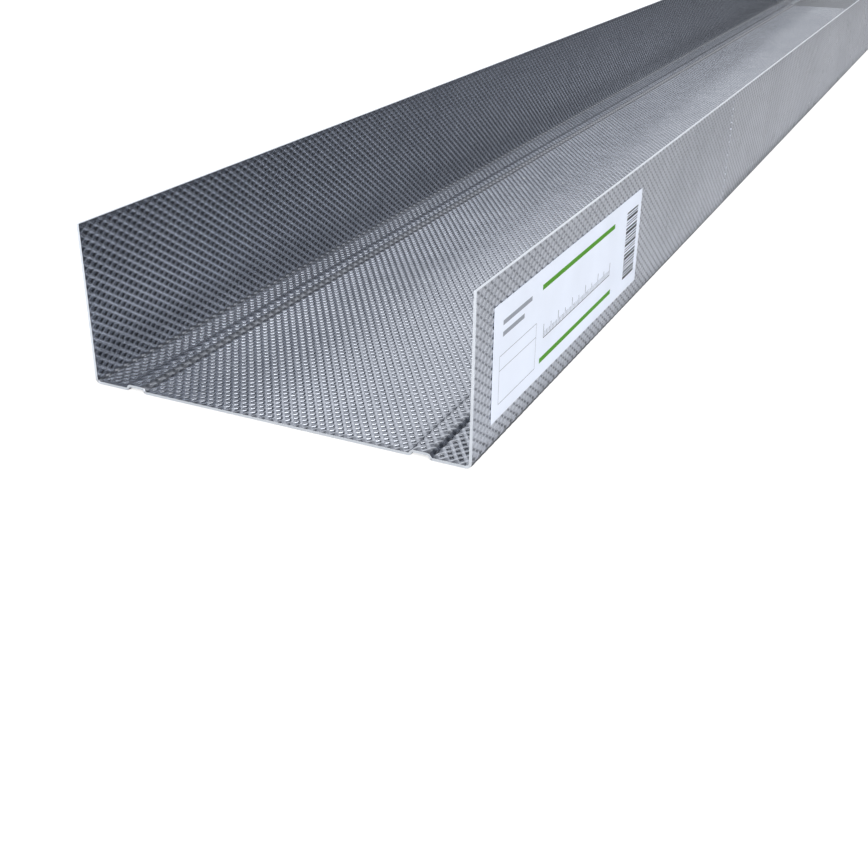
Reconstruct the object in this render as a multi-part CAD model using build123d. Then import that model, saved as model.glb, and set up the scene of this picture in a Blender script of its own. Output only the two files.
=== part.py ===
from build123d import *
import os

# Drywall track: a roll-formed steel channel that holds the ends of the studs in a partition wall.
# Millimetres. It lies on its web with the flanges up. The length runs along Y, the labelled end
# is at -Y, and the origin is in the middle of the underside of the web.

# Overall sizes, taken over the outside of the sheet
LENGTH = 3000.0
WEB_WIDTH = 100.0
FLANGE_HEIGHT = 40.0

# Sheet and its bends
SHEET = 0.65
FLANGE_BEND_INSIDE = 0.95

# Two stiffening ribs pressed up into the web, measured on its underside
RIB_FROM_FLANGE = 12.25
RIB_FOOT = 4.8
RIB_TOP = 3.6
RIB_HEIGHT = 0.95
RIB_BEND_INSIDE = 0.3

# Paper label stuck half way up the outer face of the +X flange
LABEL_LENGTH = 106.6
LABEL_HEIGHT = 26.8
LABEL_PAPER = 0.1
LABEL_FROM_END = 9.4

HALF_WEB = WEB_WIDTH / 2


def rib_corners(side):
    """The underside corners of the rib on one side of the web, from its -X foot to its +X foot."""
    centre = side * (HALF_WEB - RIB_FROM_FLANGE)
    return [
        (centre - RIB_FOOT / 2, 0),
        (centre - RIB_TOP / 2, RIB_HEIGHT),
        (centre + RIB_TOP / 2, RIB_HEIGHT),
        (centre + RIB_FOOT / 2, 0),
    ]


def outer_face_path():
    """The sheet's outer face in section: down one flange, along under the web and up the other."""
    flange_bend = FLANGE_BEND_INSIDE + SHEET
    # The sheet turns up at a rib's feet and flat again at its top, so the outer face is on the
    # outside of the foot bends and on the inside of the top bends.
    foot_bend = RIB_BEND_INSIDE + SHEET
    rib_bends = [foot_bend, RIB_BEND_INSIDE, RIB_BEND_INSIDE, foot_bend]
    corners = [
        (-HALF_WEB, FLANGE_HEIGHT),
        (-HALF_WEB, 0),
        *rib_corners(-1),
        *rib_corners(1),
        (HALF_WEB, 0),
        (HALF_WEB, FLANGE_HEIGHT),
    ]
    return FilletPolyline(*corners, radius=[flange_bend, *rib_bends, *rib_bends, flange_bend])


def make_track():
    """One sheet, the same section from end to end."""
    section = make_face(offset(outer_face_path(), SHEET, side=Side.LEFT, closed=True))
    upright = Plane.XZ * section
    return extrude(upright, amount=LENGTH / 2, both=True)


def make_label():
    """A flat rectangle of paper whose back lies on the flange."""
    return Pos(
        HALF_WEB + LABEL_PAPER / 2,
        -LENGTH / 2 + LABEL_FROM_END + LABEL_LENGTH / 2,
        FLANGE_HEIGHT / 2,
    ) * Box(LABEL_PAPER, LABEL_LENGTH, LABEL_HEIGHT)


os.makedirs("parts", exist_ok=True)
export_step(make_track(), "parts/track.step")
export_step(make_label(), "parts/label.step")
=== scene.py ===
import math

import bmesh
import bpy
import numpy as np
from mathutils import Matrix, Vector


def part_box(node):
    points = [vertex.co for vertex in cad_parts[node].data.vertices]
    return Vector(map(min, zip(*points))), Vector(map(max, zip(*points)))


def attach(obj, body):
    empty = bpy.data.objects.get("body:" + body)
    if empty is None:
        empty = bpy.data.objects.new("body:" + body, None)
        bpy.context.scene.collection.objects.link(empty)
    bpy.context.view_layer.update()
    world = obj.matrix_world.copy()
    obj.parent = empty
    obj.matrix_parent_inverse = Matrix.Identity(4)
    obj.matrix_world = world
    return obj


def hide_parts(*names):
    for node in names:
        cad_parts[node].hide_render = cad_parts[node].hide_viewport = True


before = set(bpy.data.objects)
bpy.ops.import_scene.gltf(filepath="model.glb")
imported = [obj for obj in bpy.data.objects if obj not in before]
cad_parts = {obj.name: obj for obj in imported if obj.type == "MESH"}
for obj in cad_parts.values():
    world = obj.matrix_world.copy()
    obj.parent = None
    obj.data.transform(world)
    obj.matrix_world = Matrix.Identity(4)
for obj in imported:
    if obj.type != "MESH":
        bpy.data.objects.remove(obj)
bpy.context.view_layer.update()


# The sheet. The track is one strip of zinc-coated steel, 0.65 mm thick. Knurled rolls press rows of
# small diamond pits through the flat strip, and forming rolls then bend up its two flanges and
# press two stiffening ribs into the web. The pits run on over every bend.

MM = 0.001
track_low, track_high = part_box("track")
TRACK_LENGTH = (track_high.y - track_low.y) / MM
HALF_WEB = track_high.x / MM
FLANGE_HEIGHT = track_high.z / MM
NEAR_END = track_low.y / MM

# Sizes are in millimetres. The sheet is flat beside its sheared edges, and bending presses the knurl
# beside a bend down to a share of its height.
SHEET = 0.65
PIT_DEPTH = 0.3
PAD_HEIGHT = 0.16
SHEARED_FLAT = 1.2
ROLLED_FLAT = 0.3
LEFT_IN_BENDS = 0.35
FLANGE_BEND_OUTSIDE = 1.6
RIB_FROM_FLANGE = 12.25
RIB_FOOT = 4.8
RIB_TOP = 3.6
RIB_HEIGHT = 0.95
RIB_FOOT_BEND_OUTSIDE = 0.95
RIB_TOP_BEND_INSIDE = 0.3

# A pit and its ridges repeat every 3.48 mm along the track and every 2.33 mm across the strip.
PITCH_ALONG = 3.476
PITCH_ACROSS = 2.327


def outer_corners():
    """The corners of the section's outer face from one flange edge to the other, with their radii."""
    corners = [(-HALF_WEB, FLANGE_HEIGHT, 0), (-HALF_WEB, 0, FLANGE_BEND_OUTSIDE)]
    for side in (-1, 1):
        middle = side * (HALF_WEB - RIB_FROM_FLANGE)
        corners += [
            (middle - RIB_FOOT / 2, 0, RIB_FOOT_BEND_OUTSIDE),
            (middle - RIB_TOP / 2, RIB_HEIGHT, RIB_TOP_BEND_INSIDE),
            (middle + RIB_TOP / 2, RIB_HEIGHT, RIB_TOP_BEND_INSIDE),
            (middle + RIB_FOOT / 2, 0, RIB_FOOT_BEND_OUTSIDE),
        ]
    corners += [(HALF_WEB, 0, FLANGE_BEND_OUTSIDE), (HALF_WEB, FLANGE_HEIGHT, 0)]
    return np.array(corners)


def section_pieces(inset):
    """The straights and bends of a line that runs inside the outer face: start, heading, turn, length."""
    corners = outer_corners()
    place, radius = corners[:, :2], corners[:, 2]
    leg = np.diff(place, axis=0)
    heading = np.arctan2(leg[:, 1], leg[:, 0])
    turn = np.diff(heading)
    cut = np.zeros(len(corners))
    cut[1:-1] = radius[1:-1] * np.tan(np.abs(turn) / 2)
    pieces = []
    for i, along in enumerate(heading):
        ahead = np.array([math.cos(along), math.sin(along)])
        inward = np.array([-ahead[1], ahead[0]])
        start = place[i] + ahead * cut[i] + inward * inset
        pieces.append((start, along, 0.0, np.hypot(*leg[i]) - cut[i] - cut[i + 1]))
        if i < len(turn):
            bend = radius[i + 1] - math.copysign(inset, turn[i])
            corner_start = start + ahead * pieces[-1][3]
            pieces.append((corner_start, along, math.copysign(1 / bend, turn[i]), bend * abs(turn[i])))
    return pieces


THICK_OVER_KNURL = SHEET + PIT_DEPTH
MID_LINE = section_pieces(THICK_OVER_KNURL / 2)
PIECE_STARTS = np.concatenate([[0.0], np.cumsum([piece[3] for piece in MID_LINE])])
STRIP_WIDTH = PIECE_STARTS[-1]

# Half a repeat each way, fitted to the strip's width and length.
ACROSS = STRIP_WIDTH / (2 * round(STRIP_WIDTH / PITCH_ACROSS))
ALONG = TRACK_LENGTH / (2 * round(TRACK_LENGTH / PITCH_ALONG))
COLUMNS = round(STRIP_WIDTH / ACROSS)


def fold(points):
    """Takes points of the flat strip (across, along, height) to their places on the bent track, in metres."""
    across, along, height = points.T
    index = np.clip(np.searchsorted(PIECE_STARTS, across, side="right") - 1, 0, len(MID_LINE) - 1)
    start, heading, curve, _ = (np.array(values)[index] for values in zip(*MID_LINE))
    run = across - PIECE_STARTS[index]
    turned = heading + curve * run
    safe = np.where(curve == 0, 1, curve)
    x = np.where(curve == 0, np.cos(heading) * run, (np.sin(turned) - np.sin(heading)) / safe)
    z = np.where(curve == 0, np.sin(heading) * run, (np.cos(heading) - np.cos(turned)) / safe)
    x += start[:, 0] - np.sin(turned) * height
    z += start[:, 1] + np.cos(turned) * height
    return np.stack([x, along + NEAR_END, z], axis=1) * MM


# A flange's bend turns through more than this many radians, and a rib's bend through less.
WIDE_TURN = 1.3


def bend_cuts():
    """Where the flat strip is cut across so that it can follow the bends: their ends and points between."""
    cuts = []
    for (_, _, curve, length), start in zip(MID_LINE, PIECE_STARTS):
        if curve:
            steps = 4 if length * abs(curve) > WIDE_TURN else 2
            cuts += [start + length * k / steps for k in range(steps + 1)]
    return cuts


# Painted light and shade on the zinc inside, from the start to the end of each straight and bend of the
# section. The bends and the sides of the ribs are painted darker, one side of each rib more than the other,
# and the web beside the left rib is painted lightest.
PAINTED_RIB_SIDE_SHADE = [[(tone, tone)] * 3 for tone in (0.85, 0.5, 0.9, 0.7)]
PAINTED_LIGHT_ACROSS = [
    (0.87, 0.65),  # left flange
    (0.55, 0.55),  # its bend
    (1.2, 1.2),  # web beside the left rib
    *PAINTED_RIB_SIDE_SHADE[0],
    (1.3, 1.3),  # left rib's top
    *PAINTED_RIB_SIDE_SHADE[1],
    (1.45, 0.97),  # web between the ribs
    *PAINTED_RIB_SIDE_SHADE[2],
    (0.97, 0.97),  # right rib's top
    *PAINTED_RIB_SIDE_SHADE[3],
    (1, 1),  # web beside the right rib
    (0.9, 0.9),  # right flange's bend
    (0.95, 0.95),  # right flange
]
PAINTED_LIGHT_BLEND = 0.05
# Painted light and shade along the track: a factor at these distances in mm from the near end.
FROM_NEAR_END, PAINTED_LIGHT_ALONG = (470, 620, 852, 855), (1.03, 0.87, 0.8, 0.91)


def painted_light_inside(points):
    """The painted light and shade on the zinc at points of the flat strip, across the section and along the
    track.
    """
    across, along, _ = points.T
    pieces = zip(MID_LINE, PIECE_STARTS)
    ends = [(start + PAINTED_LIGHT_BLEND, start + piece[3] - PAINTED_LIGHT_BLEND) for piece, start in pieces]
    painted_across = np.interp(across, np.ravel(ends), np.ravel(PAINTED_LIGHT_ACROSS))
    return painted_across * np.interp(along, FROM_NEAR_END, PAINTED_LIGHT_ALONG)


FLAT, RIDGE, SLOPE, CUT = range(4)
PART_COUNT = 4


class KnurledFace:
    """One face of the flat strip over one repeat of the pattern, as points and the facets between them.

    Ridges cross at every other point of a grid of half pitches, and a pit lies at each point
    between them. A pit's rim and floor are diamonds, each a share of the whole diamond. The parts
    say what each facet belongs to, since a ridge is rounded and the rest is crisp.
    """

    SIDES = {"east": (1, 0), "west": (-1, 0), "north": (0, 1), "south": (0, -1)}

    def __init__(self, rim_share, rim_height, floor_share, floor_height):
        self.share = {"rim": rim_share, "floor": floor_share}
        self.height = {"rim": rim_height, "floor": floor_height}
        self.points = []
        self.index = {}
        self.facets = []
        self.parts = []
        for row in range(2):
            for column in range(COLUMNS):
                self.add_ridge_and_slopes(column, row)
            for column in range(COLUMNS + 1):
                self.add_flat(column, row, 1)
                self.add_flat(column, row + 1, -1)

    def spot(self, column, row, height):
        """The number of the point at a place of the grid, which is added the first time."""
        key = (column, row, height)
        if key not in self.index:
            self.index[key] = len(self.points)
            self.points.append((column * ACROSS, row * ALONG, height))
        return self.index[key]

    def corner(self, part, column, row, side):
        """A corner of a pit's rim or floor. The strip's edges cut a pit in half, at its middle."""
        across, along = self.SIDES[side]
        share = self.share[part] if 0 <= column + across <= COLUMNS else 0
        return self.spot(column + across * share, row + along * share, self.height[part])

    def add_facet(self, part, *corners):
        """Adds a facet, unless so many of its corners fall together that nothing is left of it."""
        corners = list(dict.fromkeys(corners))
        if len(corners) > 2:
            self.facets.append(corners)
            self.parts.append(part)

    def add_slope(self, column, row, first, second):
        """One of a pit's four slopes, from its rim down to its floor, between two of its sides."""
        rims = [self.corner("rim", column, row, side) for side in (first, second)]
        floors = [self.corner("floor", column, row, side) for side in (second, first)]
        self.add_facet(SLOPE, *rims, *floors)

    def add_ridge_and_slopes(self, column, row):
        """The ridge that runs across one square of the grid, and the slope on each side of it."""
        if (column + row) % 2:
            left, left_sides = (column, row), ("east", "north")
            right, right_sides = (column + 1, row + 1), ("west", "south")
        else:
            left, left_sides = (column, row + 1), ("south", "east")
            right, right_sides = (column + 1, row), ("north", "west")
        self.add_slope(*left, *left_sides)
        self.add_slope(*right, *right_sides)
        ends = [self.corner("rim", *left, side) for side in reversed(left_sides)]
        ends += [self.corner("rim", *right, side) for side in reversed(right_sides)]
        self.add_facet(RIDGE, *ends)

    def beside_crossing(self, column, row, way):
        """Where the flat round a crossing ends on one side: at the next pit's rim or the strip's edge."""
        if 0 <= column + way <= COLUMNS:
            return self.corner("rim", column + way, row, "west" if way > 0 else "east")
        return self.spot(column, row, self.height["rim"])

    def add_flat(self, column, row, way):
        """Half of the flat round a crossing or of a pit's floor, ahead of its grid line or behind it."""
        ahead, behind = ("north", "south") if way > 0 else ("south", "north")
        if (column + row) % 2:
            west, east, tip = [self.corner("floor", column, row, side) for side in ("west", "east", ahead)]
        else:
            west = self.beside_crossing(column, row, -1)
            east = self.beside_crossing(column, row, 1)
            tip = self.corner("rim", column, row + way, behind)
        self.add_facet(FLAT, *((west, east, tip) if way > 0 else (east, west, tip)))

    def flange_edge(self, column):
        """The face's points along one edge of the strip, over one repeat."""
        middle = "west" if column == 0 else "east"
        pit = [("rim", "south"), ("floor", "south"), ("floor", middle), ("floor", "north"), ("rim", "north")]
        ends = [self.spot(column, row, self.height["rim"]) for row in (0, 2)]
        return [ends[0]] + [self.corner(part, column, 1, side) for part, side in pit] + [ends[1]]

    def end_edge(self):
        """The face's points across the strip where it is sheared off."""
        pit = [("rim", "west"), ("floor", "west"), ("floor", "east"), ("rim", "east")]
        ends = [self.spot(column, 0, self.height["rim"]) for column in (0, COLUMNS)]
        pits = range(1, COLUMNS, 2)
        between = [self.corner(part, column, 0, side) for column in pits for part, side in pit]
        return [ends[0]] + between + [ends[1]]


class PlainFace:
    """One face of the flat strip over one repeat, without knurling, with the same calls as a knurled face.

    Its points are STEP half repeats apart across the strip. Its edges give as many points as a knurled
    face's do, some of them more than once, so that the two faces can be closed with each other.
    """

    STEP = 7

    def __init__(self, height):
        columns = range(0, COLUMNS + 1, self.STEP)
        self.points = [(column * ACROSS, row * ALONG, height) for row in (0, 2) for column in columns]
        last = len(columns) - 1
        self.facets = [[k, k + 1, k + last + 2, k + last + 1] for k in range(last)]
        self.parts = [FLAT] * last
        self.last = last

    def flange_edge(self, column):
        near = 0 if column == 0 else self.last
        return [near] * 4 + [near + self.last + 1] * 3

    def end_edge(self):
        nearest = [min(round(column / self.STEP), self.last) for column in range(1, COLUMNS, 2)]
        return [0] + [point for point in nearest for _ in range(4)] + [self.last]


INSIDE, OUTSIDE, SHEARED_EDGE = range(3)


def close_between(inner_line, outer_line, shift):
    """The facets of a cut edge. The outer face's points are numbered on from shift, after the inner's."""
    facets = []
    for a, b, c, d in zip(outer_line, outer_line[1:], inner_line[1:], inner_line):
        corners = list(dict.fromkeys([a + shift, b + shift, c, d]))
        if len(corners) > 2:
            facets.append(corners)
    return facets


SAME_PLACE = 1e-4


def cut_across(points, facets, kinds, cuts):
    """Cuts facets of the flat strip across, so that they can be folded, and drops unused points."""
    cut = bmesh.new()
    corners = [cut.verts.new(point) for point in points]
    for facet, (finish, part) in zip(facets, kinds):
        cut.faces.new([corners[k] for k in facet]).material_index = finish * PART_COUNT + part
    for place in cuts:
        everything = cut.verts[:] + cut.edges[:] + cut.faces[:]
        plane = {"plane_co": (place, 0, 0), "plane_no": (1, 0, 0)}
        bmesh.ops.bisect_plane(cut, geom=everything, dist=SAME_PLACE, **plane)
    loose = [corner for corner in cut.verts if not corner.link_faces]
    bmesh.ops.delete(cut, geom=loose, context="VERTS")
    cut.verts.index_update()
    points = np.array([corner.co for corner in cut.verts])
    facets = [[corner.index for corner in face.verts] for face in cut.faces]
    kinds = [divmod(face.material_index, PART_COUNT) for face in cut.faces]
    cut.free()
    return points, facets, kinds


def knurled_repeat(inner, outer, cuts):
    """One repeat of the whole strip, and the closed end of a piece of it, each cut across for its bends."""
    shift = len(inner.points)
    points = inner.points + outer.points
    facets = inner.facets + [[k + shift for k in reversed(facet)] for facet in outer.facets]
    kinds = [(INSIDE, part) for part in inner.parts] + [(OUTSIDE, part) for part in outer.parts]
    east = close_between(inner.flange_edge(COLUMNS), outer.flange_edge(COLUMNS), shift)
    west = close_between(inner.flange_edge(0), outer.flange_edge(0), shift)
    edges = east + [facet[::-1] for facet in west]
    body = cut_across(points, facets + edges, kinds + [(SHEARED_EDGE, CUT)] * len(edges), cuts)
    end = close_between(inner.end_edge(), outer.end_edge(), shift)
    return body, cut_across(points, end, [(SHEARED_EDGE, CUT)] * len(end), cuts)


SLIVER = 1e-6


def folded_mesh(name, points, facets, kinds):
    """A piece from facets of the flat strip, folded, with finishes, crisp edges, painted light and shade, and
    a strip map.
    """
    kept = [k for k, facet in enumerate(facets) if len(facet) > 2]
    finish, part = np.array([kinds[k] for k in kept], np.int32).T
    mesh = bpy.data.meshes.new(name)
    mesh.from_pydata(fold(points).tolist(), [], [facets[k] for k in kept])
    mesh.polygons.foreach_set("material_index", finish.copy())
    mesh.polygons.foreach_set("use_smooth", np.ones(len(kept), bool))
    corner_count = len(mesh.loops)
    corner_point, corner_edge = np.empty(corner_count, np.int32), np.empty(corner_count, np.int32)
    mesh.loops.foreach_get("vertex_index", corner_point)
    mesh.loops.foreach_get("edge_index", corner_edge)
    corner_part = np.repeat(part, [len(facets[k]) for k in kept])
    beside = np.zeros((len(mesh.edges), PART_COUNT), np.int32)
    np.add.at(beside, (corner_edge, corner_part), 1)
    within_part = (beside[:, [FLAT, RIDGE, CUT]] == 2).any(axis=1)
    ridge_to_slope = (beside[:, RIDGE] == 1) & (beside[:, SLOPE] == 1)
    crisp = ~(within_part | ridge_to_slope)
    mesh.attributes.new("sharp_edge", "BOOLEAN", "EDGE").data.foreach_set("value", crisp)
    strip_map = mesh.uv_layers.new(name="flat_strip")
    strip_map.data.foreach_set("uv", points[corner_point, :2].astype(np.float32).ravel())
    mesh.attributes.new("painted_light_inside", "FLOAT", "POINT").data.foreach_set("value", painted_light_inside(points))
    cleaned = bmesh.new()
    cleaned.from_mesh(mesh)
    bmesh.ops.dissolve_degenerate(cleaned, dist=SLIVER, edges=cleaned.edges)
    cleaned.to_mesh(mesh)
    cleaned.free()
    piece = bpy.data.objects.new(name, mesh)
    bpy.context.scene.collection.objects.link(piece)
    return piece


def press_flat(points):
    """Presses the knurl flat beside the sheared edges, and shallow in the bends and the ribs' sides."""
    across, along, height = points.T
    one_way, other_way = across / ACROSS + along / ALONG, across / ACROSS - along / ALONG
    middle = (np.floor(one_way / 2) + np.floor(other_way / 2) + 1) * ACROSS
    in_bends = np.full(len(points), 1.0)
    for (_, _, curve, length), start in zip(MID_LINE, PIECE_STARTS):
        if curve or length < RIB_HEIGHT:
            from_bend = np.maximum(start - middle, middle - start - length)
            kept = np.clip((from_bend - ROLLED_FLAT) / ROLLED_FLAT, LEFT_IN_BENDS, 1)
            in_bends = np.minimum(in_bends, kept)
    face = np.where(height > 0, THICK_OVER_KNURL / 2, -THICK_OVER_KNURL / 2)
    height = face + (height - face) * in_bends
    from_edge = np.minimum.reduce([across, STRIP_WIDTH - across, along, TRACK_LENGTH - along])
    kept = np.clip(from_edge / SHEARED_FLAT, 0, 1)
    pressed = np.where(height > 0, SHEET / 2, -SHEET / 2)
    points[:, 2] = pressed + (height - pressed) * kept


SAME_DIGITS = 4


def knurled_piece(name, body, end, first, count):
    """A piece of track: the strip's repeat laid down count times from the first one on, closed and folded.

    Only the near end of the first piece is a sheared edge. The others are joints, which don't show.
    """
    body_points, body_facets, body_kinds = body
    end_points, end_facets, _ = end
    step = 2 * ALONG
    points = [body_points + [0, (first + k) * step, 0] for k in range(count)]
    points += [end_points + [0, place * step, 0] for place in (first, first + count)]
    starts = np.cumsum([0] + [len(part) for part in points])
    facets, kinds = [], []
    for k in range(count):
        facets += [[corner + starts[k] for corner in facet] for facet in body_facets]
        kinds += body_kinds
    facets += [[corner + starts[count] for corner in facet] for facet in end_facets]
    facets += [[corner + starts[count + 1] for corner in reversed(facet)] for facet in end_facets]
    near_finish = SHEARED_EDGE if first == 0 else OUTSIDE
    kinds += [(near_finish, CUT)] * len(end_facets) + [(INSIDE, CUT)] * len(end_facets)
    joined, where = np.unique(np.round(np.concatenate(points), SAME_DIGITS), axis=0, return_inverse=True)
    where = where.ravel()
    press_flat(joined)
    facets = [list(dict.fromkeys(where[facet].tolist())) for facet in facets]
    return folded_mesh(name, joined, facets, kinds)


def plain_piece(name, first):
    """The rest of the track, from one repeat on: the sheet with its bends, whose pits are in the material."""
    places = [0.0, SHEARED_FLAT] + bend_cuts() + [STRIP_WIDTH - SHEARED_FLAT, STRIP_WIDTH]
    lengths = [first * 2 * ALONG, TRACK_LENGTH - SHEARED_FLAT, TRACK_LENGTH]
    heights = [THICK_OVER_KNURL / 2, -THICK_OVER_KNURL / 2]
    points = np.array([(across, along, up) for along in lengths for up in heights for across in places])
    press_flat(points)
    rows = np.arange(len(points)).reshape(len(lengths), len(heights), len(places)).tolist()
    strips = [(*rows[0][::-1], (INSIDE, CUT)), (*rows[-1], (SHEARED_EDGE, CUT))]
    facets, kinds = [], []
    for (inner, outer), (next_inner, next_outer) in zip(rows, rows[1:]):
        strips += [(inner, next_inner, (INSIDE, FLAT)), (next_outer, outer, (OUTSIDE, FLAT))]
        facets.append([next_outer[0], outer[0], inner[0], next_inner[0]])
        facets.append([outer[-1], next_outer[-1], next_inner[-1], inner[-1]])
        kinds += [(SHEARED_EDGE, CUT)] * 2
    for below, above, kind in strips:
        facets += [list(corners) for corners in zip(below, below[1:], above[1:], above)]
        kinds += [kind] * (len(places) - 1)
    return folded_mesh(name, points, facets, kinds)


# Inside, the knurl is small diamond pits. Outside they stand proud as wider, flatter pads. A repeat of
# both comes to about 6000 triangles, so the stretch nearest the label has the full shape, the next
# one only its inside, and the rest has all its knurl as relief in the finish.
PIT_RIM, PIT_FLOOR = 0.76, 0.36
PAD_FOOT, PAD_TOP = 0.88, 0.5
FULL_PIECES, FULL_REPEATS = 2, 33
INNER_PIECES, INNER_REPEATS = 3, 60

inside_top, outside_top = THICK_OVER_KNURL / 2, -THICK_OVER_KNURL / 2
pit_floor, pad_foot = inside_top - PIT_DEPTH, outside_top + PAD_HEIGHT
full_repeat = knurled_repeat(
    KnurledFace(PIT_RIM, inside_top, PIT_FLOOR, pit_floor),
    KnurledFace(PAD_FOOT, pad_foot, PAD_TOP, outside_top),
    bend_cuts(),
)
inner_repeat = knurled_repeat(
    KnurledFace(PIT_RIM, inside_top, PIT_FLOOR, pit_floor),
    PlainFace(outside_top),
    bend_cuts() + [SHEARED_FLAT, STRIP_WIDTH - SHEARED_FLAT],
)

track_pieces = []
repeats_done = 0
for stretch, repeat, pieces, repeats in (
    ("full", full_repeat, FULL_PIECES, FULL_REPEATS),
    ("inner", inner_repeat, INNER_PIECES, INNER_REPEATS),
):
    for number in range(1, pieces + 1):
        piece = knurled_piece(f"track_{stretch}_{number}", *repeat, repeats_done, repeats)
        track_pieces.append(piece)
        repeats_done += repeats
plain_track = plain_piece("track_plain", repeats_done)


def add_node(tree, kind, wires=None, **settings):
    """Adds a shader node. wires gives its inputs, each as a value or as another node's output."""
    node = tree.nodes.new(kind)
    for name, value in settings.items():
        setattr(node, name, value)
    for name, value in (wires or {}).items():
        if isinstance(value, bpy.types.NodeSocket):
            tree.links.new(value, node.inputs[name])
        else:
            node.inputs[name].default_value = value
    return node


def calculate(tree, operation, *values):
    """The result of a Math node."""
    return add_node(tree, "ShaderNodeMath", dict(enumerate(values)), operation=operation).outputs[0]


def remap(tree, value, low, high, to_low=0, to_high=1, curve="LINEAR"):
    """A value that goes from to_low to to_high while the given one goes from low to high."""
    ends = {"From Min": low, "From Max": high, "To Min": to_low, "To Max": to_high}
    node = add_node(tree, "ShaderNodeMapRange", {"Value": value, **ends}, interpolation_type=curve)
    return node.outputs["Result"]


def noise(tree, place, scale, detail, roughness=0.5):
    """A cloudy value with scale clouds to the metre, mostly from 0.3 to 0.7."""
    look = {"Vector": place, "Scale": scale, "Detail": detail, "Roughness": roughness}
    return add_node(tree, "ShaderNodeTexNoise", look).outputs["Fac"]


def mix_colours(tree, share, first, second, blend="MIX"):
    """A colour that is the first at share 0 and the second, or their blend, at share 1."""
    wires = {0: share, 6: first, 7: second}
    return add_node(tree, "ShaderNodeMix", wires, data_type="RGBA", blend_type=blend).outputs[2]


def new_group(name, inputs, outputs):
    """An empty shader node group, with its two end nodes. Sockets are given as name and kind."""
    group = bpy.data.node_groups.new(name, "ShaderNodeTree")
    for way, sockets in (("INPUT", inputs), ("OUTPUT", outputs)):
        for socket, kind in sockets.items():
            group.interface.new_socket(socket, in_out=way, socket_type="NodeSocket" + kind)
    return group, group.nodes.new("NodeGroupInput"), group.nodes.new("NodeGroupOutput")


def make_zinc_group():
    """The zinc coat: long clouds and smudges, faint crystals a few millimetres wide, and rolling grain."""
    group, given, result = new_group(
        "zinc_coat",
        {"Place": "Vector", "Dark zinc": "Color", "Light zinc": "Color", "Dull": "Float"},
        {"Colour": "Color", "Roughness": "Float", "Grain": "Float"},
    )
    place = given.outputs["Place"]
    drawn_out = add_node(group, "ShaderNodeVectorMath", {0: place, 1: (1, 0.45, 1)}, operation="MULTIPLY")
    clouds = noise(group, drawn_out.outputs[0], 22, 5, 0.6)
    smudges = noise(group, place, 110, 4, 0.65)
    grain = noise(group, place, 2600, 3, 0.6)
    crystals = add_node(group, "ShaderNodeTexVoronoi", {"Vector": place, "Scale": 320, "Randomness": 1})
    crystal = add_node(group, "ShaderNodeSeparateColor", {"Color": crystals.outputs["Color"]}).outputs["Red"]

    light_clouds = remap(group, clouds, 0.36, 0.66, 0, 0.5)
    light_smudges = remap(group, smudges, 0.34, 0.68, 0, 0.25)
    light_crystals = remap(group, crystal, 0, 1, 0, 0.25)
    cloudy = calculate(group, "ADD", light_clouds, light_smudges)
    lightness = calculate(group, "ADD", cloudy, light_crystals)
    colour = mix_colours(group, lightness, given.outputs["Dark zinc"], given.outputs["Light zinc"])
    worn_smudges = remap(group, smudges, 0.3, 0.7, 0, 0.06)
    worn_grain = remap(group, grain, 0.3, 0.7, 0, 0.05)
    worn = calculate(group, "ADD", worn_smudges, worn_grain)
    group.links.new(colour, result.inputs["Colour"])
    group.links.new(calculate(group, "ADD", given.outputs["Dull"], worn), result.inputs["Roughness"])
    group.links.new(grain, result.inputs["Grain"])
    return group


def make_knurl_group():
    """The knurl's pattern on the flat strip: 0 in the middle of each diamond and 1 between them.

    Lines is the same for the colour's painted shade and highlight, with its own strength for the lines that
    run each way.
    """
    group, given, result = new_group(
        "knurl_pattern",
        {
            "Flat strip": "Vector",
            "Middle share": "Float",
            "Rim share": "Float",
            "One way": "Float",
            "Other way": "Float",
            "Crossings": "Float",
        },
        {"Height": "Float", "Lines": "Float"},
    )
    place = add_node(group, "ShaderNodeSeparateXYZ", {"Vector": given.outputs["Flat strip"]})
    across = calculate(group, "DIVIDE", place.outputs["X"], 2 * ACROSS)
    along = calculate(group, "DIVIDE", place.outputs["Y"], 2 * ALONG)
    slopes = []
    for way in ("ADD", "SUBTRACT"):
        part = calculate(group, "FRACT", calculate(group, way, across, along))
        from_middle = calculate(group, "ABSOLUTE", calculate(group, "SUBTRACT", part, 0.5))
        share = calculate(group, "MULTIPLY", from_middle, 2)
        slopes.append(remap(group, share, given.outputs["Middle share"], given.outputs["Rim share"]))
    height = calculate(group, "MAXIMUM", *slopes)
    off_other = calculate(group, "MULTIPLY", slopes[0], given.outputs["One way"])
    second = {0: slopes[0], 2: given.outputs["Other way"], 3: given.outputs["Crossings"]}
    on_other = add_node(group, "ShaderNodeMix", second).outputs[0]
    lines = add_node(group, "ShaderNodeMix", {0: slopes[1], 2: off_other, 3: on_other}).outputs[0]
    group.links.new(height, result.inputs["Height"])
    group.links.new(lines, result.inputs["Lines"])
    return group


zinc_coat = make_zinc_group()
knurl_pattern = make_knurl_group()

# The shares of each diamond's middle and rim, as in the mesh, then how strongly the lines that run one way,
# the other way and where they cross are tinted, and the tints of the middles and of the lines. The tints are
# painted shade and highlight: inside, the pits are painted dark and the ridges that run the other way are
# painted lighter than those that run one way; outside, the dips between the pads are painted dark, most along
# the lines that run one way.
INSIDE_KNURL = (PIT_FLOOR, PIT_RIM, 0.5, 1, 0.95, (0.38, 0.39, 0.41), (1, 1, 1))
OUTSIDE_KNURL = (PAD_TOP, PAD_FOOT, 1, 0.25, 0.1, (1, 1, 1), (0.3, 0.31, 0.33))
GRAIN_HEIGHT = 0.00002


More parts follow.
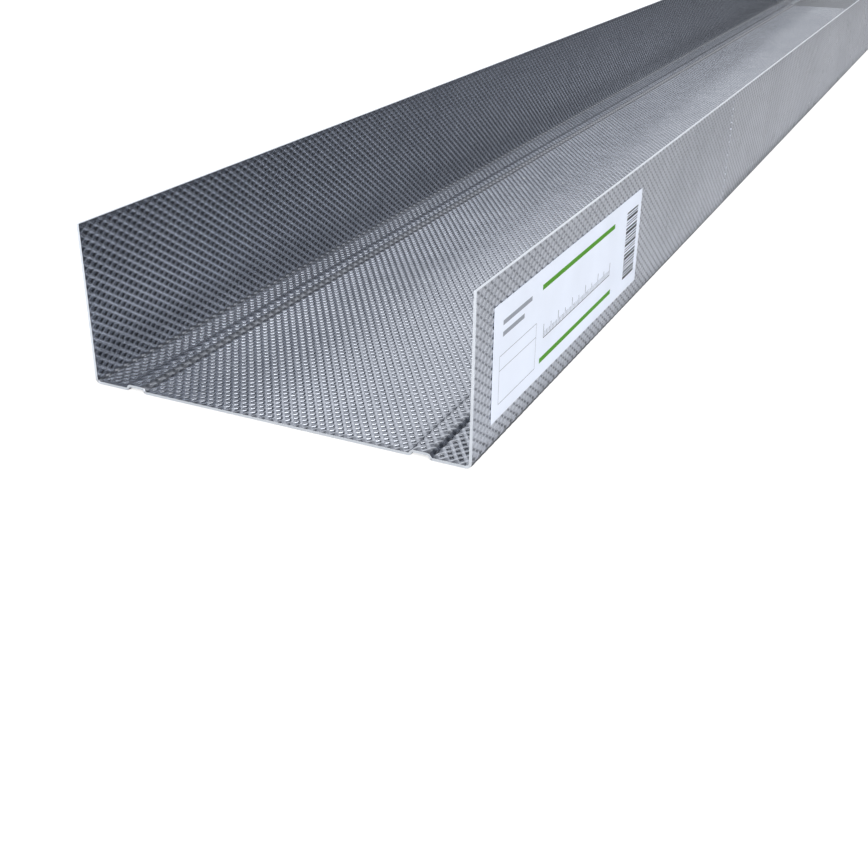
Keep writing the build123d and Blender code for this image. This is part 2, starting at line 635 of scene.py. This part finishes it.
def make_zinc_material(name, dark, light, dull, knurl=None, relief=0, metallic=1):
    """Zinc-coated steel. relief is the height in metres of knurling that isn't in the mesh."""
    material = bpy.data.materials.new(name)
    material.use_nodes = True
    tree = material.node_tree
    tree.nodes.clear()
    place = add_node(tree, "ShaderNodeTexCoord").outputs["Object"]
    look = {"Place": place, "Dark zinc": (*dark, 1), "Light zinc": (*light, 1), "Dull": dull}
    coat = add_node(tree, "ShaderNodeGroup", look, node_tree=zinc_coat)
    colour = coat.outputs["Colour"]
    grain = {"Strength": 0.5, "Distance": GRAIN_HEIGHT, "Height": coat.outputs["Grain"]}
    normal = add_node(tree, "ShaderNodeBump", grain).outputs[0]
    if knurl:
        middle, rim, one_way, other_way, crossings, middle_shading, rim_shading = knurl
        strip = add_node(tree, "ShaderNodeUVMap", uv_map="flat_strip").outputs["UV"]
        shape = {"Flat strip": strip, "Middle share": middle, "Rim share": rim}
        strength = {"One way": one_way, "Other way": other_way, "Crossings": crossings}
        pattern = add_node(tree, "ShaderNodeGroup", {**shape, **strength}, node_tree=knurl_pattern)
        # Painted shade in the pits and between the pads, and a painted highlight on the ridges that run one
        # way.
        painted_knurl_shading = mix_colours(tree, pattern.outputs["Lines"], (*middle_shading, 1), (*rim_shading, 1))
        colour = mix_colours(tree, 1, colour, painted_knurl_shading, "MULTIPLY")
        # The inside zinc's colour is scaled by its painted light and shade.
        if knurl is INSIDE_KNURL:
            tone = add_node(tree, "ShaderNodeAttribute", attribute_name="painted_light_inside").outputs["Fac"]
            with_painted_light = {"Vector": colour, "Scale": tone}
            colour = add_node(tree, "ShaderNodeVectorMath", with_painted_light, operation="SCALE").outputs["Vector"]
        if relief:
            depth = {"Strength": 1, "Distance": relief, "Height": pattern.outputs["Height"], "Normal": normal}
            normal = add_node(tree, "ShaderNodeBump", depth).outputs[0]
    finish = {"Base Color": colour, "Roughness": coat.outputs["Roughness"], "Normal": normal}
    steel = add_node(tree, "ShaderNodeBsdfPrincipled", {**finish, "Metallic": metallic})
    surface = add_node(tree, "ShaderNodeOutputMaterial")
    tree.links.new(steel.outputs[0], surface.inputs["Surface"])
    return material


# Relief reflects less of the room than real pits do, so inside it has a paler and duller zinc.
DARK_ZINC, LIGHT_ZINC = (0.51, 0.535, 0.585), (0.68, 0.705, 0.76)
PALE_DARK_ZINC, PALE_LIGHT_ZINC = (0.7, 0.725, 0.77), (0.91, 0.935, 0.98)
SHEARED_DARK, SHEARED_LIGHT = (0.76, 0.8, 0.86), (0.86, 0.9, 0.96)
DULL_INSIDE, DULL_OUTSIDE, DULL_RELIEF, DULL_SHEARED = 0.13, 0.24, 0.45, 0.45
PIT_RELIEF, PAD_RELIEF = PIT_DEPTH * MM, -PAD_HEIGHT * MM

plain_zinc, pale_zinc = (DARK_ZINC, LIGHT_ZINC), (PALE_DARK_ZINC, PALE_LIGHT_ZINC)
zinc_inside = make_zinc_material("zinc_inside", *plain_zinc, DULL_INSIDE, INSIDE_KNURL)
zinc_outside = make_zinc_material("zinc_outside", *plain_zinc, DULL_OUTSIDE, OUTSIDE_KNURL)
relief_inside = make_zinc_material("zinc_inside_relief", *pale_zinc, DULL_RELIEF, INSIDE_KNURL, PIT_RELIEF)
relief_outside = make_zinc_material(
    "zinc_outside_relief", *plain_zinc, DULL_OUTSIDE, OUTSIDE_KNURL, PAD_RELIEF
)
sheared_steel = make_zinc_material(
    "sheared_steel", SHEARED_DARK, SHEARED_LIGHT, DULL_SHEARED, metallic=0.2
)

for piece in track_pieces + [plain_track]:
    inner_finish = relief_inside if piece is plain_track else zinc_inside
    outer_finish = zinc_outside if piece.name.startswith("track_full") else relief_outside
    for finish in (inner_finish, outer_finish, sheared_steel):
        piece.data.materials.append(finish)
    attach(piece, "root")
    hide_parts("track")


# The label. It is a printed paper sticker, glued to the outside of one flange near its end. It lies on
# the knurl's raised pads and shows plain rules, an empty frame, a measuring scale and stripes.

label_low, label_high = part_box("label")
LABEL_LENGTH = (label_high.y - label_low.y) / MM
LABEL_HEIGHT = (label_high.z - label_low.z) / MM

PAPER, GREEN_INK, BLACK_INK, GREY_INK = range(4)

# Bars are left, right, top and bottom, in mm from the label's near upper corner.
GREEN_BARS = [(28.6, 82.6, 3.95, 5.25), (28.6, 82.6, 22.05, 23.35)]
GREY_BARS = [(5.0, 22.0, 4.4, 5.5), (5.0, 17.5, 7.0, 8.1)]
FRAME_SIDES, FRAME_ROWS, HALF_FRAME_LINE = (3.6, 25.6), (12.2, 15.6, 23.4), 0.08
SCALE_BAR = (30.5, 80.7, 17.4, 17.6)
SCALE_START, SCALE_FOOT, SCALE_MARKS, HALF_MARK = 30.6, 17.4, 51, 0.12
LONG_MARK, MIDDLE_MARK, SHORT_MARK = 3.4, 2.4, 1.4

# Stripes are a thickness and the gap below it, from the top down.
STRIPE_SIDES, STRIPE_TOP = (93.6, 103.6), 3.9
STRIPES = [(0.5, 0.4), (0.3, 0.3), (0.8, 0.5), (0.3, 0.4), (0.3, 0.6), (0.6, 0.3), (0.9, 0.4), (0.4, 0.4)] * 2
STRIPES += [(0.5, 0.4), (0.3, 0.5), (0.7, 0.3), (0.4, 0.3), (0.8, 0)]


def label_print():
    """The printed shapes, each as its ink and its left, right, top and bottom."""
    shapes = [(GREEN_INK, *bar) for bar in GREEN_BARS]
    for top, bottom in zip(FRAME_ROWS, FRAME_ROWS[1:]):
        for y in (top, bottom):
            shapes.append((GREY_INK, *FRAME_SIDES, y - HALF_FRAME_LINE, y + HALF_FRAME_LINE))
        for x in FRAME_SIDES:
            shapes.append((GREY_INK, x - HALF_FRAME_LINE, x + HALF_FRAME_LINE, top, bottom))
    for mark in range(SCALE_MARKS):
        x = SCALE_START + mark
        length = LONG_MARK if mark % 10 == 0 else MIDDLE_MARK if mark % 5 == 0 else SHORT_MARK
        shapes.append((BLACK_INK, x - HALF_MARK, x + HALF_MARK, SCALE_FOOT - length, SCALE_FOOT))
    shapes.append((BLACK_INK, *SCALE_BAR))
    shapes += [(GREY_INK, *bar) for bar in GREY_BARS]
    top = STRIPE_TOP
    for stripe, gap in STRIPES:
        shapes.append((BLACK_INK, *STRIPE_SIDES, top, top + stripe))
        top += stripe + gap
    return shapes


def make_label():
    """A thin sheet whose front is divided along the edges of everything printed on it."""
    shapes = label_print()
    column_lines, row_lines = {0.0, LABEL_LENGTH}, {0.0, LABEL_HEIGHT}
    for _, left, right, top, bottom in shapes:
        column_lines |= {round(left, 3), round(right, 3)}
        row_lines |= {round(top, 3), round(bottom, 3)}
    columns, rows = sorted(column_lines), sorted(row_lines)
    sheet = bmesh.new()
    front = []
    for y in rows:
        up = label_high.z - y * MM
        front.append([sheet.verts.new((label_high.x, label_low.y + x * MM, up)) for x in columns])
    for j in range(len(rows) - 1):
        for i in range(len(columns) - 1):
            corners = [front[j + 1][i], front[j + 1][i + 1], front[j][i + 1], front[j][i]]
            x, y = (columns[i] + columns[i + 1]) / 2, (rows[j] + rows[j + 1]) / 2
            ink = [shape[0] for shape in shapes if shape[1] < x < shape[2] and shape[3] < y < shape[4]]
            sheet.faces.new(corners).material_index = ink[0] if ink else PAPER
    rim = front[0][:-1]
    rim += [row[-1] for row in front[:-1]]
    rim += front[-1][:0:-1]
    rim += [row[0] for row in front[:0:-1]]
    back = [sheet.verts.new((label_low.x, corner.co.y, corner.co.z)) for corner in rim]
    for k in range(len(rim)):
        sheet.faces.new((rim[k - 1], rim[k], back[k], back[k - 1]))
    sheet.faces.new(back)
    bmesh.ops.recalc_face_normals(sheet, faces=sheet.faces)
    mesh = bpy.data.meshes.new("label_sheet")
    sheet.to_mesh(mesh)
    sheet.free()
    label = bpy.data.objects.new("label_sheet", mesh)
    bpy.context.scene.collection.objects.link(label)
    return label


def make_print_group():
    """Coated paper: long fibres under the coat, which show through the ink as faint mottling."""
    group, given, result = new_group(
        "printed_paper",
        {"Place": "Vector", "Tone": "Color"},
        {"Colour": "Color", "Roughness": "Float", "Fibres": "Float"},
    )
    place = given.outputs["Place"]
    drawn_out = add_node(group, "ShaderNodeVectorMath", {0: place, 1: (1, 0.5, 1)}, operation="MULTIPLY")
    fibres = noise(group, drawn_out.outputs[0], 1800, 4, 0.7)
    shade = remap(group, noise(group, place, 60, 3), 0.3, 0.7, 0.94, 1)
    mottled = {0: given.outputs["Tone"], 1: shade}
    colour = add_node(group, "ShaderNodeVectorMath", mottled, operation="MULTIPLY")
    group.links.new(colour.outputs[0], result.inputs["Colour"])
    group.links.new(remap(group, fibres, 0, 1, 0.55, 0.75), result.inputs["Roughness"])
    group.links.new(fibres, result.inputs["Fibres"])
    return group


printed_paper = make_print_group()
FIBRE_HEIGHT = 0.00002


def make_print_material(name, tone):
    """The label's paper, or an ink on it, in one tone."""
    material = bpy.data.materials.new(name)
    material.use_nodes = True
    tree = material.node_tree
    tree.nodes.clear()
    look = {"Place": add_node(tree, "ShaderNodeTexCoord").outputs["Object"], "Tone": (*tone, 1)}
    paper = add_node(tree, "ShaderNodeGroup", look, node_tree=printed_paper)
    fibres = {"Strength": 0.3, "Distance": FIBRE_HEIGHT, "Height": paper.outputs["Fibres"]}
    normal = add_node(tree, "ShaderNodeBump", fibres).outputs[0]
    finish = {"Base Color": paper.outputs["Colour"], "Roughness": paper.outputs["Roughness"]}
    dull = {"Normal": normal, "Specular IOR Level": 0.2}
    sheet = add_node(tree, "ShaderNodeBsdfPrincipled", {**finish, **dull})
    surface = add_node(tree, "ShaderNodeOutputMaterial")
    tree.links.new(sheet.outputs[0], surface.inputs["Surface"])
    return material


label = make_label()
for name, tone in (
    ("label_paper", (0.81, 0.86, 0.96)),
    ("label_green_ink", (0.075, 0.29, 0.01)),
    ("label_black_ink", (0.03, 0.032, 0.04)),
    ("label_grey_ink", (0.3, 0.32, 0.36)),
):
    label.data.materials.append(make_print_material(name, tone))
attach(label, "root")
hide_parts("label")


# The floor. It is a wide sheet of pale board under the track, laid loose. The camera sees it lit to white,
# with a glow of its own. What the metal reflects of it is greyer, with a painted contact shadow that is
# nearly black under the track and fades out just beside it.

FLOOR_HALF = 30
UNDER_TRACK, CLEAR_OF_TRACK = 0.0505, 0.0535
FLOOR_PAINTED_SHADOW, FLOOR_OPEN, FLOOR_SEEN = (0.12, 0.12, 0.12, 1), (0.74, 0.74, 0.75, 1), (0.5, 0.5, 0.5, 1)
FLOOR_GLOW = 0.75

floor_corners = [(x * FLOOR_HALF, y * FLOOR_HALF, 0) for x, y in ((-1, -1), (1, -1), (1, 1), (-1, 1))]
floor_mesh = bpy.data.meshes.new("floor")
floor_mesh.from_pydata(floor_corners, [], [(0, 1, 2, 3)])
floor = bpy.data.objects.new("floor", floor_mesh)
bpy.context.scene.collection.objects.link(floor)

floor_finish = bpy.data.materials.new("floor_finish")
floor_finish.use_nodes = True
tree = floor_finish.node_tree
tree.nodes.clear()
seen = add_node(tree, "ShaderNodeLightPath").outputs["Is Camera Ray"]
place = add_node(tree, "ShaderNodeSeparateXYZ", {0: add_node(tree, "ShaderNodeTexCoord").outputs["Object"]})
beside = calculate(tree, "ABSOLUTE", place.outputs["X"])
# A painted contact shadow, seen only in reflections, nearly black under the track.
clear_of_painted_shadow = remap(tree, beside, UNDER_TRACK, CLEAR_OF_TRACK, curve="SMOOTHSTEP")
unseen = mix_colours(tree, clear_of_painted_shadow, FLOOR_PAINTED_SHADOW, FLOOR_OPEN)
pale = mix_colours(tree, seen, unseen, FLOOR_SEEN)
board = {"Base Color": pale, "Roughness": 0.8, "Specular IOR Level": 0.1}
glow = {"Emission Color": (1, 1, 1, 1), "Emission Strength": calculate(tree, "MULTIPLY", seen, FLOOR_GLOW)}
matt = add_node(tree, "ShaderNodeBsdfPrincipled", {**board, **glow})
surface = add_node(tree, "ShaderNodeOutputMaterial")
tree.links.new(matt.outputs[0], surface.inputs["Surface"])
floor_mesh.materials.append(floor_finish)


# The light. A plain room that is pale ahead of the camera, dark to both sides and dim behind it, with
# one soft panel hung above the track and a larger one standing behind the camera to its right.

ROOM_DARK, ROOM_PALE, ROOM_SEEN = (0.03, 0.032, 0.04, 1), (0.98, 1, 1.045, 1), (0.95, 0.95, 0.95, 1)

world = bpy.data.worlds.new("studio")
bpy.context.scene.world = world
world.use_nodes = True
tree = world.node_tree
tree.nodes.clear()

# Each step in the room's light lies between two values of a part of the direction looked in.
way = add_node(tree, "ShaderNodeSeparateXYZ", {0: add_node(tree, "ShaderNodeTexCoord").outputs["Generated"]})
right, ahead, up = way.outputs["X"], way.outputs["Y"], way.outputs["Z"]
slant = calculate(tree, "MULTIPLY_ADD", right, -0.5, up)
above_floor = remap(tree, slant, 0.01, 0.09, 0.1, 0.6, "SMOOTHSTEP")
higher = remap(tree, slant, 0.12, 0.4, 0, 0.36)
lighter_right = remap(tree, right, 0.05, 0.3, 1, 2)
level = calculate(tree, "ADD", calculate(tree, "MULTIPLY", above_floor, lighter_right), higher)
front_wall = remap(tree, ahead, 0.35, 0.6, curve="SMOOTHSTEP")
below_ceiling = remap(tree, up, 0.47, 0.6, 1, 0.4, "SMOOTHSTEP")
band = calculate(tree, "MULTIPLY", front_wall, below_ceiling)
back_wall = remap(tree, ahead, -0.05, -0.3, 0, 0.3, "SMOOTHSTEP")
lit = calculate(tree, "MULTIPLY_ADD", level, band, back_wall)
room = mix_colours(tree, lit, ROOM_DARK, ROOM_PALE)
seen = add_node(tree, "ShaderNodeLightPath").outputs["Is Camera Ray"]
backdrop = mix_colours(tree, seen, room, ROOM_SEEN)
sky = add_node(tree, "ShaderNodeBackground", {"Color": backdrop, "Strength": 1})
surface = add_node(tree, "ShaderNodeOutputWorld")
tree.links.new(sky.outputs[0], surface.inputs["Surface"])


def soft_panel(name, place, aim, size, watts):
    """A soft area light of a given size in metres, pointed at a place."""
    lamp = bpy.data.lights.new(name, "AREA")
    lamp.shape = "RECTANGLE"
    lamp.size, lamp.size_y = size
    lamp.energy = watts
    panel = bpy.data.objects.new(name, lamp)
    way = Vector(aim) - Vector(place)
    panel.matrix_world = Matrix.Translation(place) @ way.to_track_quat("-Z", "Y").to_matrix().to_4x4()
    bpy.context.scene.collection.objects.link(panel)


soft_panel("overhead_panel", place=(0.92, -0.68, 2.32), aim=(0, -1.45, 0), size=(1.45, 1.15), watts=18)
soft_panel("front_panel", place=(1.4, -3.6, 1.7), aim=(0, -1.4, 0), size=(2, 1.5), watts=98)


# The camera. It stands low, just beyond the near end on the label's side, and looks down and along the
# track from there. It is level but for a slight roll, and everything is in focus.

camera_data = bpy.data.cameras.new("camera")
camera_data.sensor_width = 36
camera_data.lens = 49.296
camera_data.clip_start = 0.01
camera_data.clip_end = 100
camera = bpy.data.objects.new("camera", camera_data)
CAMERA_PLACE = (0.13597, -1.70448, 0.11948)
AZIMUTH, LOOKING_DOWN, ROLL = (math.radians(angle) for angle in (24.919, 26.582, 0.777))
camera.matrix_world = (
    Matrix.Translation(CAMERA_PLACE)
    @ Matrix.Rotation(AZIMUTH, 4, "Z")
    @ Matrix.Rotation(math.pi / 2 - LOOKING_DOWN, 4, "X")
    @ Matrix.Rotation(ROLL, 4, "Z")
)
bpy.context.scene.collection.objects.link(camera)
bpy.context.scene.camera = camera
bpy.context.scene.view_settings.view_transform = "Standard"
